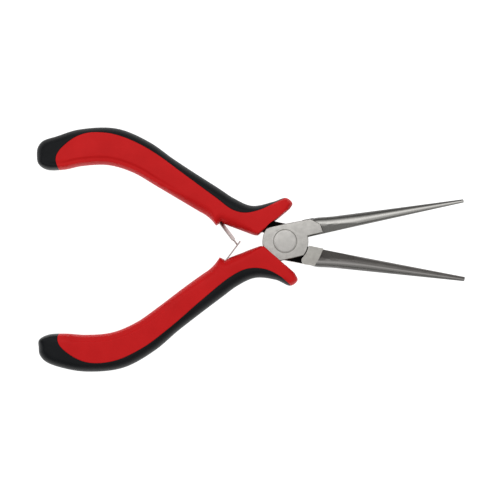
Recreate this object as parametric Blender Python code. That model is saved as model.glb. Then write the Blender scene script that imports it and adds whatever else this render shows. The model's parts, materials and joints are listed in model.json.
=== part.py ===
"""Round nose pliers: two crossed forged arms on a flush rivet, two-colour grips and a pair of leaf springs.

The object lies flat on z = 0 with its jaws part open. +X runs towards the jaw tips along the bisector of the
jaws, +Y towards the upper jaw and +Z up. The origin is at the bottom centre of the bounding box.

Both arms are built in the same arm frame: rivet axis at the origin, closing line of the jaws along +X, jaw on
the +Y side, handle on the -Y side and lap plate in the +Z half. The lower jaw's arm is that frame turned over.
All lengths in the tables below are millimetres.
"""

import math

import bmesh
import bpy
import numpy as np
from mathutils import Matrix, Vector

MM = 0.001
GAP = 0.3

# Whole tool
HALF_OPEN_DEG = 12.13
PIVOT_X = 11.9
PIVOT_Y = 1.9
GRIP_THICKNESS = 11.0
HEAD_THICKNESS = 8.8
HALF_GRIP = GRIP_THICKNESS / 2
HALF_HEAD = HEAD_THICKNESS / 2

# Lap joint
PLATE_R = 7.9
NOTCH_R = 8.1
LAP_R = 8.25
PLATE_CORNER_Y = 1.75
NOTCH_START_DEG = 0.7
HEAD_OUTER_Y = 5.95
HEAD_INNER_Y = -6.25
LAND_END_X = 13.4
JAW_MEETING_Y = 0.1
NECK = [(-3.0, HEAD_INNER_Y), (-9.0, -6.5), (-14.0, -5.4), (-14.0, -2.0)]
NECK_POCKET_FRONT = [(-5.0, -1.3), (-2.0, HEAD_INNER_Y - GAP)]
LAP_FACE_Z = GAP / 2

# Rivet
RIVET_HEAD_R = 4.08
RIVET_SHANK_R = 3.0
RIVET_HEAD_DEPTH = 1.1
RIVET_CONE_DEPTH = 1.0
RIVET_CLEARANCE = 0.13

# Jaws
JAW_ROOT_X = 11.6
JAW_TIP_X = 64.2
JAW_ROOT_WIDTH = 5.8
JAW_TIP_WIDTH = 1.3
JAW_TIP_INNER_Y = -0.35
JAW_ROUND_X = 40.0
JAW_ROOT_HALF_Z = 4.15
JAW_DEPTH_FADE = 1.5
JAW_SQUARENESS = 1.4
JAW_SEGMENTS = 20
TIP_ROUNDING = 0.35
TIP_SHOULDER_SHARE = 0.92
TIP_END_SHARE = 0.55

# Tang, inside the grip
TANG_WIDTH = 3.5
TANG_THICKNESS = 6.0
TANG_START = 7
TANG_END = 0.74

# Leaf springs. Each blade turns about its root, where it leaves the grip. The foot lies on the tang.
LEAF_THICKNESS = 0.4
LEAF_WIDTH = 5.0
TONGUE_WIDTH = 1.5
SLOT_WIDTH = 2.6
LOWER_LEAF = {
    "root": (-21.8, -1.9),
    "blade_deg": 40.0,
    "length": 8.8,
    "foot": [(-23.0, -2.97), (-27.4, -4.6)],
    "slot": (5.9, 8.2),
}
UPPER_LEAF = {
    "root": (-22.95, -1.75),
    "blade_deg": 41.7,
    "length": 10.1,
    "foot": [(-24.1, -3.1), (-28.4, -4.66)],
    "tongue_from": 7.4,
}

# Rivet through each foot into the tang, measured from the middle of the foot's thickness
SPRING_RIVET_R = 0.75
SPRING_RIVET_HEAD_R = 1.3
SPRING_RIVET_HEAD_THICKNESS = 0.5
SPRING_RIVET_DEPTH = 2.4

# Each grip: stations across it as (inner x, inner y, outer x, outer y), from the guard to the far end, and the
# line in plan that parts the hard grip from the soft inlay, from the guard to the inner edge near the far end.
LOWER_GRIP = {
    "stations": [
        (-7.9, -0.05, 0.5, -11.6),
        (-9.0, -0.05, 1.0, -14.3),
        (-10.4, -0.05, -1.6, -15.7),
        (-12.4, -0.1, -6.2, -12.5),
        (-15.5, -0.4, -13.0, -10.1),
        (-21.5, -1.85, -19.5, -11.3),
        (-30.0, -4.3, -25.8, -14.0),
        (-39.0, -8.0, -34.6, -17.9),
        (-48.0, -12.0, -43.5, -22.0),
        (-57.0, -15.8, -53.0, -26.9),
        (-66.0, -17.4, -65.0, -30.3),
        (-75.0, -16.25, -77.6, -29.0),
        (-82.0, -14.2, -85.7, -25.8),
        (-88.0, -13.4, -91.0, -22.3),
        (-91.6, -14.6, -92.6, -19.4),
    ],
    "parting": [
        (-1.0, -16.2),
        (-4.5, -11.4),
        (-9.0, -7.9),
        (-15.0, -6.4),
        (-21.0, -7.7),
        (-33.0, -13.5),
        (-45.0, -19.9),
        (-57.0, -25.2),
        (-68.0, -27.3),
        (-77.0, -25.5),
        (-83.0, -20.4),
        (-84.9, -16.3),
        (-83.0, -11.5),
    ],
    "nub_x": -23.5,
}
UPPER_GRIP = {
    "stations": [
        (-9.6, -0.05, -0.8, -11.8),
        (-10.4, -0.05, -0.3, -13.6),
        (-11.6, -0.05, -2.8, -14.95),
        (-13.2, -0.2, -7.0, -12.8),
        (-16.0, -0.6, -13.8, -10.0),
        (-22.5, -1.9, -20.5, -11.4),
        (-30.0, -3.9, -26.2, -13.7),
        (-39.0, -6.9, -35.1, -17.2),
        (-48.0, -10.2, -43.9, -20.8),
        (-57.0, -13.4, -53.5, -24.95),
        (-66.0, -14.2, -65.5, -27.2),
        (-75.0, -12.0, -78.4, -24.35),
        (-81.0, -9.5, -85.4, -20.5),
        (-86.8, -8.5, -89.6, -17.6),
        (-89.9, -9.9, -90.7, -14.6),
    ],
    "parting": [
        (-2.2, -15.6),
        (-6.0, -12.6),
        (-10.5, -9.2),
        (-15.5, -7.0),
        (-20.0, -7.1),
        (-27.0, -10.3),
        (-39.0, -15.9),
        (-51.0, -21.4),
        (-60.0, -24.1),
        (-68.0, -24.85),
        (-76.0, -23.1),
        (-81.5, -18.5),
        (-84.1, -13.0),
        (-80.8, -6.5),
    ],
    "nub_x": -24.5,
}
INNER_ROUNDING = 2.6
OUTER_ROUNDING = 4.0
MOST_INNER_SHARE = 0.35
MOST_OUTER_SHARE = 0.5
ROUNDING_POWER = 0.8
END_ROUNDING_STATIONS = 3
END_THICKNESS_SHARE = 0.72

# The stop in front of each spring's root, as (x from its peak, y) from its front to its back
NUB = [(1.6, -3.2), (1.6, -2.1), (0.0, -0.7), (-4.2, -3.0), (-4.2, -5.0)]
NUB_HALF_Z = 3.6

# How far the cutters reach beyond the grips in plan
REACH_BACK_X = -100
REACH_BACK_Y = -5
REACH_OUT_Y = -40
REACH_FRONT_X = 4
ROUND_STEPS = 48


def clear_scene():
    for obj in list(bpy.data.objects):
        bpy.data.objects.remove(obj, do_unlink=True)


def make_material(name, colour, roughness, metallic):
    material = bpy.data.materials.new(name)
    material.use_nodes = True
    shader = material.node_tree.nodes["Principled BSDF"]
    shader.inputs["Base Color"].default_value = (*colour, 1.0)
    shader.inputs["Roughness"].default_value = roughness
    shader.inputs["Metallic"].default_value = metallic
    return material


def make_empty(name, location, rotation):
    empty = bpy.data.objects.new(name, None)
    empty.empty_display_size = 0.01
    empty.matrix_world = Matrix.Translation(location) @ rotation
    bpy.context.scene.collection.objects.link(empty)
    return empty


def make_object(name, bm, parent, material=None, origin=(0, 0), sharp_deg=35):
    """An object from a bmesh in millimetres, with its faces turned outward and its origin at a point in plan."""
    bmesh.ops.translate(bm, vec=(-origin[0], -origin[1], 0), verts=bm.verts)
    bmesh.ops.scale(bm, vec=(MM, MM, MM), verts=bm.verts)
    bmesh.ops.recalc_face_normals(bm, faces=bm.faces)
    mesh = bpy.data.meshes.new(name)
    bm.to_mesh(mesh)
    bm.free()
    obj = bpy.data.objects.new(name, mesh)
    bpy.context.scene.collection.objects.link(obj)
    obj.parent = parent
    obj.location = (origin[0] * MM, origin[1] * MM, 0)
    if material:
        mesh.materials.append(material)
        mesh.shade_smooth()
        mesh.set_sharp_from_angle(angle=math.radians(sharp_deg))
    else:
        obj.hide_render = True
        obj.display_type = "WIRE"
    return obj


def combine(obj, other, operation):
    modifier = obj.modifiers.new(f"{operation.lower()} {other.name}", "BOOLEAN")
    modifier.operation = operation
    modifier.object = other


def smooth_curve(points, per_span):
    """Points along a centripetal Catmull-Rom curve through the given points, of any number of coordinates."""
    p = np.array(points, float)
    p = np.vstack([2 * p[0] - p[1], p, 2 * p[-1] - p[-2]])
    knots = np.concatenate([[0], np.cumsum(np.linalg.norm(np.diff(p, axis=0), axis=1) ** 0.5)])
    curve = []
    for k in range(1, len(p) - 2):
        t0, t1, t2, t3 = knots[k - 1 : k + 3]
        for t in np.linspace(t1, t2, per_span, endpoint=False):
            a1 = ((t1 - t) * p[k - 1] + (t - t0) * p[k]) / (t1 - t0)
            a2 = ((t2 - t) * p[k] + (t - t1) * p[k + 1]) / (t2 - t1)
            a3 = ((t3 - t) * p[k + 1] + (t - t2) * p[k + 2]) / (t3 - t2)
            b1 = ((t2 - t) * a1 + (t - t0) * a2) / (t2 - t0)
            b2 = ((t3 - t) * a2 + (t - t1) * a3) / (t3 - t1)
            curve.append(((t2 - t) * b1 + (t - t1) * b2) / (t2 - t1))
    curve.append(p[-2])
    return curve


def arc(radius, start_deg, end_deg, steps):
    angles = np.radians(np.linspace(start_deg, end_deg, steps + 1))
    return [(radius * math.cos(a), radius * math.sin(a)) for a in angles]


def circle(radius, steps):
    return arc(radius, 0, 360, steps)[:-1]


def prism(outline, low_z, high_z):
    bm = bmesh.new()
    base = bm.faces.new([bm.verts.new((x, y, low_z)) for x, y in outline])
    raised = bmesh.ops.extrude_face_region(bm, geom=[base])["geom"]
    top = [v for v in raised if isinstance(v, bmesh.types.BMVert)]
    bmesh.ops.translate(bm, vec=(0, 0, high_z - low_z), verts=top)
    return bm


def loft(rings):
    """A closed body through rings with the same number of points, capped at both ends."""
    bm = bmesh.new()
    loops = [[bm.verts.new(point) for point in ring] for ring in rings]
    for near, far in zip(loops, loops[1:]):
        for k in range(len(near)):
            nxt = (k + 1) % len(near)
            bm.faces.new((near[k], near[nxt], far[nxt], far[k]))
    bm.faces.new(loops[0])
    bm.faces.new(loops[-1])
    return bm


def turned(profile, segments):
    """A body turned about Z from (radius, z) points that start and end on the axis."""
    bm = bmesh.new()
    verts = [bm.verts.new((r, 0, z)) for r, z in profile]
    edges = [bm.edges.new(pair) for pair in zip(verts, verts[1:])]
    bmesh.ops.spin(bm, geom=verts + edges, axis=(0, 0, 1), cent=(0, 0, 0), angle=math.tau, steps=segments)
    bmesh.ops.remove_doubles(bm, verts=bm.verts, dist=1e-4)
    return bm


def section_ring(inner, outer, half_z, shrink=1.0):
    """A grip's section between two points in plan: flat faces, with a small inner and a larger outer rounding."""
    inner, outer = Vector((*inner, 0)), Vector((*outer, 0))
    width = (outer - inner).length
    across = (outer - inner) / width
    near = min(INNER_ROUNDING, MOST_INNER_SHARE * width)
    far = min(OUTER_ROUNDING, MOST_OUTER_SHARE * width)
    steps = np.radians(np.linspace(0, 90, 5))
    rise = [math.sin(a) ** ROUNDING_POWER for a in steps]
    run = [1 - abs(math.cos(a)) ** ROUNDING_POWER for a in steps]
    top = [(near * u, half_z * v * shrink) for u, v in zip(run, rise)]
    top += [(width - far * u, half_z * v * shrink) for u, v in zip(run[::-1], rise[::-1])]
    ring = top + [(a, -z) for a, z in top[-2:0:-1]]
    return [inner + across * a + Vector((0, 0, z)) for a, z in ring]


def grip_stations(grip, per_span):
    return [(s[:2], s[2:]) for s in smooth_curve(grip["stations"], per_span)]


def grip_body(grip):
    stations = grip_stations(grip, 2)
    rings = []
    for k, (inner, outer) in enumerate(stations):
        left = (len(stations) - 1 - k) / END_ROUNDING_STATIONS
        fullness = 1.0 if left >= 1 else math.sqrt(1 - (1 - left) ** 2)
        shrink = END_THICKNESS_SHARE + (1 - END_THICKNESS_SHARE) * fullness
        rings.append(section_ring(inner, outer, HALF_GRIP, shrink))
    return loft(rings)


def offset_curve(curve, distance):
    """The curve moved sideways in plan, to its left for a positive distance."""
    p = np.array(curve)
    along = np.gradient(p, axis=0)
    along /= np.linalg.norm(along, axis=1)[:, None]
    return p + distance * np.stack([-along[:, 1], along[:, 0]], axis=1)


def inlay_region(grip, distance):
    """The plan of everything on the inlay's side of the parting line, moved towards the inlay by a distance."""
    line = offset_curve(smooth_curve(grip["parting"], 3), distance)
    behind = [(REACH_BACK_X, REACH_BACK_Y), (REACH_BACK_X, REACH_OUT_Y)]
    in_front = [(REACH_FRONT_X, REACH_OUT_Y), (REACH_FRONT_X, grip["parting"][0][1] - distance)]
    return [tuple(p) for p in line] + behind + in_front


def tang_rings(grip, margin):
    stations = grip_stations(grip, 2)
    parting = np.array(smooth_curve(grip["parting"], 12))
    half_width = TANG_WIDTH / 2 + margin
    half_z = TANG_THICKNESS / 2 + margin
    rings = []
    for inner, outer in stations[TANG_START : int(TANG_END * len(stations))]:
        inner, outer = np.array(inner), np.array(outer)
        across = (outer - inner) / np.linalg.norm(outer - inner)
        aside = np.array([-across[1], across[0]])
        edge = parting[np.argmin(abs((parting - inner) @ aside))]
        centre = inner + across * ((edge - inner) @ across) / 2
        low, high = centre - across * half_width, centre + across * half_width
        rings.append([(*low, -half_z), (*high, -half_z), (*high, half_z), (*low, half_z)])
    last = np.array(rings[-1])
    step = last.mean(axis=0) - np.array(rings[-2]).mean(axis=0)
    rings[-1] = last + step / np.linalg.norm(step) * margin
    return rings


def head_outline():
    outline = [(LAND_END_X, JAW_MEETING_Y)]
    right_end = math.degrees(math.asin(HEAD_INNER_Y / NOTCH_R))
    outline += arc(NOTCH_R, NOTCH_START_DEG, right_end, 8)
    outline += NECK
    left_start = 180 + math.degrees(math.asin(PLATE_CORNER_Y / PLATE_R))
    left_end = 180 - math.degrees(math.asin(HEAD_OUTER_Y / PLATE_R))
    outline += arc(PLATE_R, left_start, left_end, 10)
    outline.append((LAND_END_X, HEAD_OUTER_Y - 0.1))
    return outline


def jaw_rings():
    """Sections of the jaw, from its square root to its round tip, where the two jaws touch first."""
    rings = []
    for step in np.linspace(0, 1, 15):
        x = JAW_ROOT_X + (JAW_TIP_X - JAW_ROOT_X) * step
        width = JAW_ROOT_WIDTH + (JAW_TIP_WIDTH - JAW_ROOT_WIDTH) * step
        centre = JAW_MEETING_Y + (JAW_TIP_INNER_Y - JAW_MEETING_Y) * step + width / 2
        left = max(0.0, (JAW_ROUND_X - x) / (JAW_ROUND_X - JAW_ROOT_X))
        half_z = width / 2 + (JAW_ROOT_HALF_Z - JAW_ROOT_WIDTH / 2) * left**JAW_DEPTH_FADE
        power = 2 + JAW_SQUARENESS * left**2
        if step < 1:
            rings.append(jaw_ring(x, centre, width, half_z, power))
    for x, share in ((JAW_TIP_X - TIP_ROUNDING, TIP_SHOULDER_SHARE), (JAW_TIP_X, TIP_END_SHARE)):
        rings.append(jaw_ring(x, centre, share * width, share * half_z, power))
    return rings


def jaw_ring(x, centre, width, half_z, power):
    """A ring between an ellipse, at power 2, and a rounded rectangle."""
    ring = []
    for a in np.linspace(0, math.tau, JAW_SEGMENTS, endpoint=False):
        y = math.copysign(abs(math.cos(a)) ** (2 / power), math.cos(a)) * width / 2
        z = math.copysign(abs(math.sin(a)) ** (2 / power), math.sin(a)) * half_z
        ring.append((x, centre + y, z))
    return ring


def rivet_profile(margin, overrun):
    head, shank = RIVET_HEAD_R + margin, RIVET_SHANK_R + margin
    neck_z = HALF_HEAD - RIVET_HEAD_DEPTH
    shank_z = neck_z - RIVET_CONE_DEPTH
    top = HALF_HEAD + overrun
    half = [(0, top), (head, top), (head, neck_z), (shank, shank_z)]
    return half + [(r, -z) for r, z in reversed(half)]


def blade_points(leaf, *distances):
    """Points along the blade's middle, at distances from its root."""
    angle = math.radians(leaf["blade_deg"])
    (x, y), along = leaf["root"], (math.cos(angle), math.sin(angle))
    return [(x + d * along[0], y + d * along[1]) for d in distances]


def leaf_plan(leaf, half_thickness):
    """The plan of a whole leaf: its straight blade, the bend at its root and its foot on the tang."""
    middle = smooth_curve(blade_points(leaf, leaf["length"], 4, 1, 0) + leaf["foot"], 3)
    there, back = offset_curve(middle, half_thickness), offset_curve(middle, -half_thickness)
    return [tuple(p) for p in there] + [tuple(p) for p in back[::-1]]


def blade_cutter(leaf, near, far, low_z, high_z):
    """A bar across the blade between two distances from its root."""
    middle = blade_points(leaf, near, far)
    there, back = offset_curve(middle, LEAF_THICKNESS * 3), offset_curve(middle, -LEAF_THICKNESS * 3)
    return prism([tuple(p) for p in there] + [tuple(p) for p in back[::-1]], low_z, high_z)


def rivet_place(leaf):
    """The spring rivet's place: its axis square to the foot, with +Z towards the grip's inner edge."""
    near, far = (Vector((*p, 0)) for p in leaf["foot"])
    angle = math.atan2(near.y - far.y, near.x - far.x)
    place = Matrix.Translation((near * 0.4 + far * 0.6)) @ Matrix.Rotation(angle, 4, "Z")
    return place @ Matrix.Rotation(-math.pi / 2, 4, "X")


def placed(bm, matrix):
    bmesh.ops.transform(bm, matrix=matrix, verts=bm.verts)
    return bm


def bar(radius, low_z, high_z):
    return prism(circle(radius, ROUND_STEPS // 2), low_z, high_z)


def make_leaf(prefix, frame, leaf, steel):
    half_width = LEAF_WIDTH / 2
    plan = leaf_plan(leaf, LEAF_THICKNESS / 2)
    root = leaf["root"]
    spring = make_object(f"{prefix}_leaf_spring", prism(plan, -half_width, half_width), frame, steel, root)
    cuts = {"foot_hole": placed(bar(SPRING_RIVET_R + GAP, -1, 1), rivet_place(leaf))}
    if "slot" in leaf:
        cuts["leaf_slot"] = blade_cutter(leaf, *leaf["slot"], -SLOT_WIDTH / 2, SLOT_WIDTH / 2)
    else:
        shoulder, tip = leaf["tongue_from"], leaf["length"] + 1
        cuts["leaf_top_shoulder"] = blade_cutter(leaf, shoulder, tip, TONGUE_WIDTH / 2, LEAF_WIDTH)
        cuts["leaf_low_shoulder"] = blade_cutter(leaf, shoulder, tip, -LEAF_WIDTH, -TONGUE_WIDTH / 2)
    for name, bm in cuts.items():
        combine(spring, make_object(f"{prefix}_{name}", bm, frame), "DIFFERENCE")
    head_z = LEAF_THICKNESS / 2 + GAP
    top_z = head_z + SPRING_RIVET_HEAD_THICKNESS
    profile = [(0, top_z), (SPRING_RIVET_HEAD_R, top_z), (SPRING_RIVET_HEAD_R, head_z)]
    profile += [(SPRING_RIVET_R, head_z), (SPRING_RIVET_R, -SPRING_RIVET_DEPTH), (0, -SPRING_RIVET_DEPTH)]
    rivet = placed(turned(profile, 20), rivet_place(leaf))
    make_object(f"{prefix}_spring_rivet", rivet, frame, steel)


def make_arm(prefix, frame, grip, leaf, steel):
    arm = make_object(f"{prefix}_jaw_arm", prism(head_outline(), -HALF_HEAD, HALF_HEAD), frame, steel)
    lap = make_object(f"{prefix}_lap_cutter", prism(circle(LAP_R, ROUND_STEPS), -HALF_HEAD - 1, LAP_FACE_Z), frame)
    jaw = make_object(f"{prefix}_jaw_cone", loft(jaw_rings()), frame)
    tang = make_object(f"{prefix}_tang", loft(tang_rings(grip, 0)), frame)
    hole = make_object(f"{prefix}_rivet_hole", turned(rivet_profile(RIVET_CLEARANCE, 1), ROUND_STEPS), frame)
    socket = placed(bar(SPRING_RIVET_R + GAP, -SPRING_RIVET_DEPTH - GAP, 0), rivet_place(leaf))
    socket = make_object(f"{prefix}_rivet_socket", socket, frame)
    combine(arm, jaw, "UNION")
    combine(arm, tang, "UNION")
    combine(arm, socket, "DIFFERENCE")
    combine(arm, lap, "DIFFERENCE")
    combine(arm, hole, "DIFFERENCE")


def make_grip(prefix, frame, grip, leaf, hard, soft):
    shell = make_object(f"{prefix}_handle_grip", grip_body(grip), frame, hard)
    inlay = make_object(f"{prefix}_handle_inlay", grip_body(grip), frame, soft)
    low, high = -HALF_GRIP - 2, HALF_GRIP + 2
    foot_z = LEAF_WIDTH / 2 + GAP
    rivet_z = LEAF_THICKNESS / 2 + SPRING_RIVET_HEAD_THICKNESS + 2 * GAP
    nub = [(grip["nub_x"] + x, y) for x, y in NUB]
    cuts = {
        "grip_parting": prism(inlay_region(grip, -GAP / 2), low, high),
        "head_clearance": prism(circle(LAP_R, ROUND_STEPS), low, HALF_HEAD + GAP),
        "neck_pocket": prism(neck_pocket(), -HALF_HEAD - GAP, HALF_HEAD + GAP),
        "tang_pocket": loft(tang_rings(grip, GAP)),
        "foot_pocket": prism(leaf_plan(leaf, LEAF_THICKNESS / 2 + GAP), -foot_z, foot_z),
        "rivet_pocket": placed(bar(SPRING_RIVET_HEAD_R + GAP, 0, rivet_z), rivet_place(leaf)),
    }
    boss = make_object(f"{prefix}_nub", prism(nub, -NUB_HALF_Z, NUB_HALF_Z), frame)
    combine(shell, boss, "UNION")
    for name, bm in cuts.items():
        combine(shell, make_object(f"{prefix}_{name}", bm, frame), "DIFFERENCE")
    region = make_object(f"{prefix}_inlay_region", prism(inlay_region(grip, GAP / 2), low, high), frame)
    combine(inlay, region, "INTERSECT")


def neck_pocket():
    """The plan of the pocket for the arm's neck: the neck with a gap all round, open at the lap joint."""
    (side_x, side_y), (end_x, low_y), (_, high_y) = NECK[1:]
    end_x -= GAP
    return NECK_POCKET_FRONT + [(side_x, side_y - GAP), (end_x, low_y - GAP), (end_x, high_y + GAP)]


def build():
    clear_scene()
    steel = make_material("satin_steel", (0.55, 0.54, 0.52), 0.38, 1.0)
    spring_steel = make_material("spring_steel", (0.6, 0.55, 0.5), 0.3, 1.0)
    hard = make_material("red_hard_plastic", (0.58, 0.012, 0.016), 0.42, 0.0)
    soft = make_material("black_soft_plastic", (0.013, 0.014, 0.016), 0.55, 0.0)
    pivot = Vector((PIVOT_X, PIVOT_Y, HALF_GRIP)) * MM
    opened = math.radians(HALF_OPEN_DEG)
    upper_frame = make_empty("upper_jaw_frame", pivot, Matrix.Rotation(opened, 4, "Z"))
    turned_over = Matrix.Rotation(-opened, 4, "Z") @ Matrix.Rotation(math.pi, 4, "X")
    lower_frame = make_empty("lower_jaw_frame", pivot, turned_over)
    make_arm("upper", upper_frame, LOWER_GRIP, LOWER_LEAF, steel)
    make_arm("lower", lower_frame, UPPER_GRIP, UPPER_LEAF, steel)
    make_object("pivot_rivet", turned(rivet_profile(0, 0), ROUND_STEPS), upper_frame, steel)
    make_grip("lower", upper_frame, LOWER_GRIP, LOWER_LEAF, hard, soft)
    make_grip("upper", lower_frame, UPPER_GRIP, UPPER_LEAF, hard, soft)
    make_leaf("lower", upper_frame, LOWER_LEAF, spring_steel)
    make_leaf("upper", lower_frame, UPPER_LEAF, spring_steel)


build()
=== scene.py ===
"""The looks of the round nose pliers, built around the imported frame.

Both arms share one arm frame: rivet axis at the origin, closing line of the jaws along +X, jaw on the +Y
side, handle on the -Y side and lap plate in the +Z half. The lower jaw's arm is that frame turned over.
Lengths in the arm frame are millimetres. Places across a jaw are given as (root, tip).
"""

import json
import math

import bmesh
import bpy
import numpy as np
from mathutils import Matrix, Vector


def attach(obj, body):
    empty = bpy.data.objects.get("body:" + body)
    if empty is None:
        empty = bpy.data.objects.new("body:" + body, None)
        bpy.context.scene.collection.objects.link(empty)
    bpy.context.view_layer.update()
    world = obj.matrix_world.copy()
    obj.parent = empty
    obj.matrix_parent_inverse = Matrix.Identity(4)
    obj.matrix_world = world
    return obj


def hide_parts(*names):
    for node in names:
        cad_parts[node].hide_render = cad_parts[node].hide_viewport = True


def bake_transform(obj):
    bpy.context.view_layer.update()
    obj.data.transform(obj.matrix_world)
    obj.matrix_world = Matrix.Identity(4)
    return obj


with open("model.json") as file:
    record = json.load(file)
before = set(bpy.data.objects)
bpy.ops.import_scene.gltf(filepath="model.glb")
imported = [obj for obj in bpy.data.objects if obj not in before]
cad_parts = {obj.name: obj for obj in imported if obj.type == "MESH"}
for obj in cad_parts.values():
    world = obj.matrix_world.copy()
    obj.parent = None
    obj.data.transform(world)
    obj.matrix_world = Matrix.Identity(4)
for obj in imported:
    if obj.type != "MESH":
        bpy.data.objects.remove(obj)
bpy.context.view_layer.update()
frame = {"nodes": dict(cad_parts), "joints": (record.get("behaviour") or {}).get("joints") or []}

MM = 0.001
JOINTS = {joint["name"]: joint for joint in frame["joints"]}
PIVOT = Vector(JOINTS["jaw_pivot"]["pos_m"])
HALF_OPEN = math.radians(12.13)
SHARP_DEG = 30
UPPER_FRAME = Matrix.Translation(PIVOT) @ Matrix.Rotation(HALF_OPEN, 4, "Z") @ Matrix.Scale(MM, 4)
TURNED_OVER = Matrix.Rotation(-HALF_OPEN, 4, "Z") @ Matrix.Rotation(math.pi, 4, "X")
LOWER_FRAME = Matrix.Translation(PIVOT) @ TURNED_OVER @ Matrix.Scale(MM, 4)

# Head
HALF_HEAD = 4.4
HEAD_BEVEL = 0.22
BEVEL_STEPS = 4
FACE_SHARE_OF_BEVEL = 0.12
LAP_Z = 0.15
PLATE_R = 7.9
PLATE_TOP_DEG = 133.0
PLATE_CORNER_Y = 1.75
NOTCH_R = 8.1
SHOULDER_R = 8.55
CLEARANCE_R = 8.25
JAW_MEETING_Y = 0.1
HEAD_INNER_Y = -6.25
NECK = [(-3.0, HEAD_INNER_Y), (-9.0, -6.5), (-14.0, -5.4), (-14.0, -2.0)]
NECK_UNDER_PLATE = (-6.0, -2.0)
OVERLAP = 0.3
CUT_PAST = 1.0
RIVET_R = 3.98
RIVET_CROWN_R = 3.4
RIVET_CROWN = 0.03
RIVET_EDGE = 0.3
RIVET_HOLE_R = 3.99
RIVET_HOLE_EDGE = 0.18
RIVET_EDGE_DEPTH = 0.17
RIVET_SEGMENTS = 96
ARM_SHARP_DEG = 28

# Jaws
JAW_START_X = 9.0
JAW_TIP_X = 64.2
UPPER_JAW_EDGES = {"inner": (-0.23, -0.63), "outer": (5.77, 0.55), "lift": 0.0}
LOWER_JAW_EDGES = {"inner": (0.13, -0.27), "outer": (6.58, 1.27), "lift": 0.4}
JAW_ROUND_X = 31.0
JAW_FLARE = [(9.0, -0.9), (10.5, -0.1), (12.0, 0.25), (13.5, 0.28), (15.7, 0.12), (18.5, 0.0)]
JAW_ROOT_HALF_Z = 4.0
JAW_DEPTH_FADE = 1.3
JAW_SQUARENESS = 2.2
JAW_SQUARE_FADE = 1.5
TIP_EDGE_R = 0.3
TIP_LENGTH = 0.7
TIP_RINGS = 10
JAW_RINGS = 90
JAW_RING_POINTS = 96
FLAT_X, FLAT_Y, FLAT_Z = 13.6, 3.0, 3.5
FLAT_FALL = 0.78
FLAT_RISE = 0.02

# Grips
HALF_GRIP = 5.5
RIDGE_IN = 3.1
OUTWARD_FALL = 0.55
FALL_POWER = 1.5
SIDE_POWER = 2.3
SIDE_OVER_TOP = 0.08
SIDE_TO_TOP_BLEND = 0.12
OUTER_ROUNDING = [(0, 2.0), (2, 2.4), (5, 4.6)]
INNER_ROUNDING = [(0, 0.7), (2, 1.6), (5, 3.9), (6, 3.9), (8, 1.9)]
END_ROUNDING = 4.2
STEP_FROM_INNER = (2.0, 2.8)
STEP_DROP = 0.5
STEP_FADE = [(-88.0, 0.0), (-80.0, 1.0), (-50.0, 1.0), (-36.0, 0.0)]
SEAM_OVERLAP = 0.02
SEAM_FILLET = 0.2
CAP_UNDERSIDE_Z = 4.48
NUB_HEIGHT = 1.75
NUB_FRONT = 1.6
NUB_BACK = 5.6
NUB_HOLLOW = 2.2
NUB_EDGE_R = 0.8
NUB_EDGE_BLEND = 1.6
NUB_MARGIN = 0.5
NUB_RIM_Y = -2.5

# A station is (inner x, inner y, outer x, outer y) of the grip's plan, and the first is at its front. The
# parting is the line between the hard shell and the soft inlay
LOWER_GRIP = {
    "stations": [
        (-7.7, 0.35, 0.85, -11.5),
        (-8.8, 0.42, 1.3, -14.1),
        (-10.3, 0.3, -1.5, -15.5),
        (-12.4, 0.05, -6.1, -12.35),
        (-15.5, -0.45, -13.0, -10.05),
        (-21.5, -1.4, -19.5, -11.3),
        (-30.0, -4.37, -25.8, -14.0),
        (-39.0, -8.15, -34.6, -17.95),
        (-48.0, -12.22, -43.5, -22.1),
        (-57.0, -15.85, -53.0, -27.0),
        (-66.0, -17.4, -65.0, -30.35),
        (-75.0, -16.2, -77.6, -28.85),
        (-82.0, -14.15, -85.7, -25.65),
        (-88.0, -13.2, -90.9, -22.2),
        (-91.5, -14.3, -92.4, -19.4),
    ],
    "parting": [
        (-1.0, -16.2),
        (-4.5, -11.4),
        (-9.0, -7.9),
        (-15.0, -6.4),
        (-21.0, -7.7),
        (-33.0, -13.5),
        (-45.0, -19.9),
        (-57.0, -25.2),
        (-68.0, -27.3),
        (-77.0, -25.5),
        (-83.0, -20.4),
        (-84.9, -16.3),
        (-83.0, -11.5),
    ],
    "nub_x": -23.5,
    "end_bulge": 0.25,
}
UPPER_GRIP = {
    "stations": [
        (-9.7, -0.3, -0.55, -11.7),
        (-10.5, -0.15, -0.05, -13.65),
        (-11.8, -0.2, -2.6, -15.1),
        (-13.2, -0.42, -6.9, -12.85),
        (-16.0, -0.87, -13.8, -10.05),
        (-22.5, -1.98, -20.5, -11.4),
        (-30.0, -4.0, -26.2, -13.7),
        (-39.0, -7.1, -35.1, -17.15),
        (-48.0, -10.25, -43.9, -20.72),
        (-57.0, -13.3, -53.5, -24.95),
        (-66.0, -14.15, -65.5, -27.3),
        (-75.0, -12.0, -78.4, -24.4),
        (-81.0, -9.5, -85.5, -20.6),
        (-87.0, -8.35, -90.2, -17.8),
        (-90.0, -9.7, -91.4, -15.3),
    ],
    "parting": [
        (-2.2, -15.6),
        (-6.0, -12.6),
        (-10.5, -9.2),
        (-15.5, -7.0),
        (-20.0, -7.1),
        (-27.0, -10.3),
        (-39.0, -15.9),
        (-51.0, -21.4),
        (-60.0, -24.1),
        (-68.0, -24.85),
        (-76.0, -23.1),
        (-81.5, -18.5),
        (-84.1, -13.0),
        (-80.8, -6.5),
    ],
    "nub_x": -24.8,
    "end_bulge": 0.45,
}
GRIP_SHARP_DEG = 40
LAST_CROSSED_STATION = 11
LINE_REACH = 1.03
FRONT_R = 0.5

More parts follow.
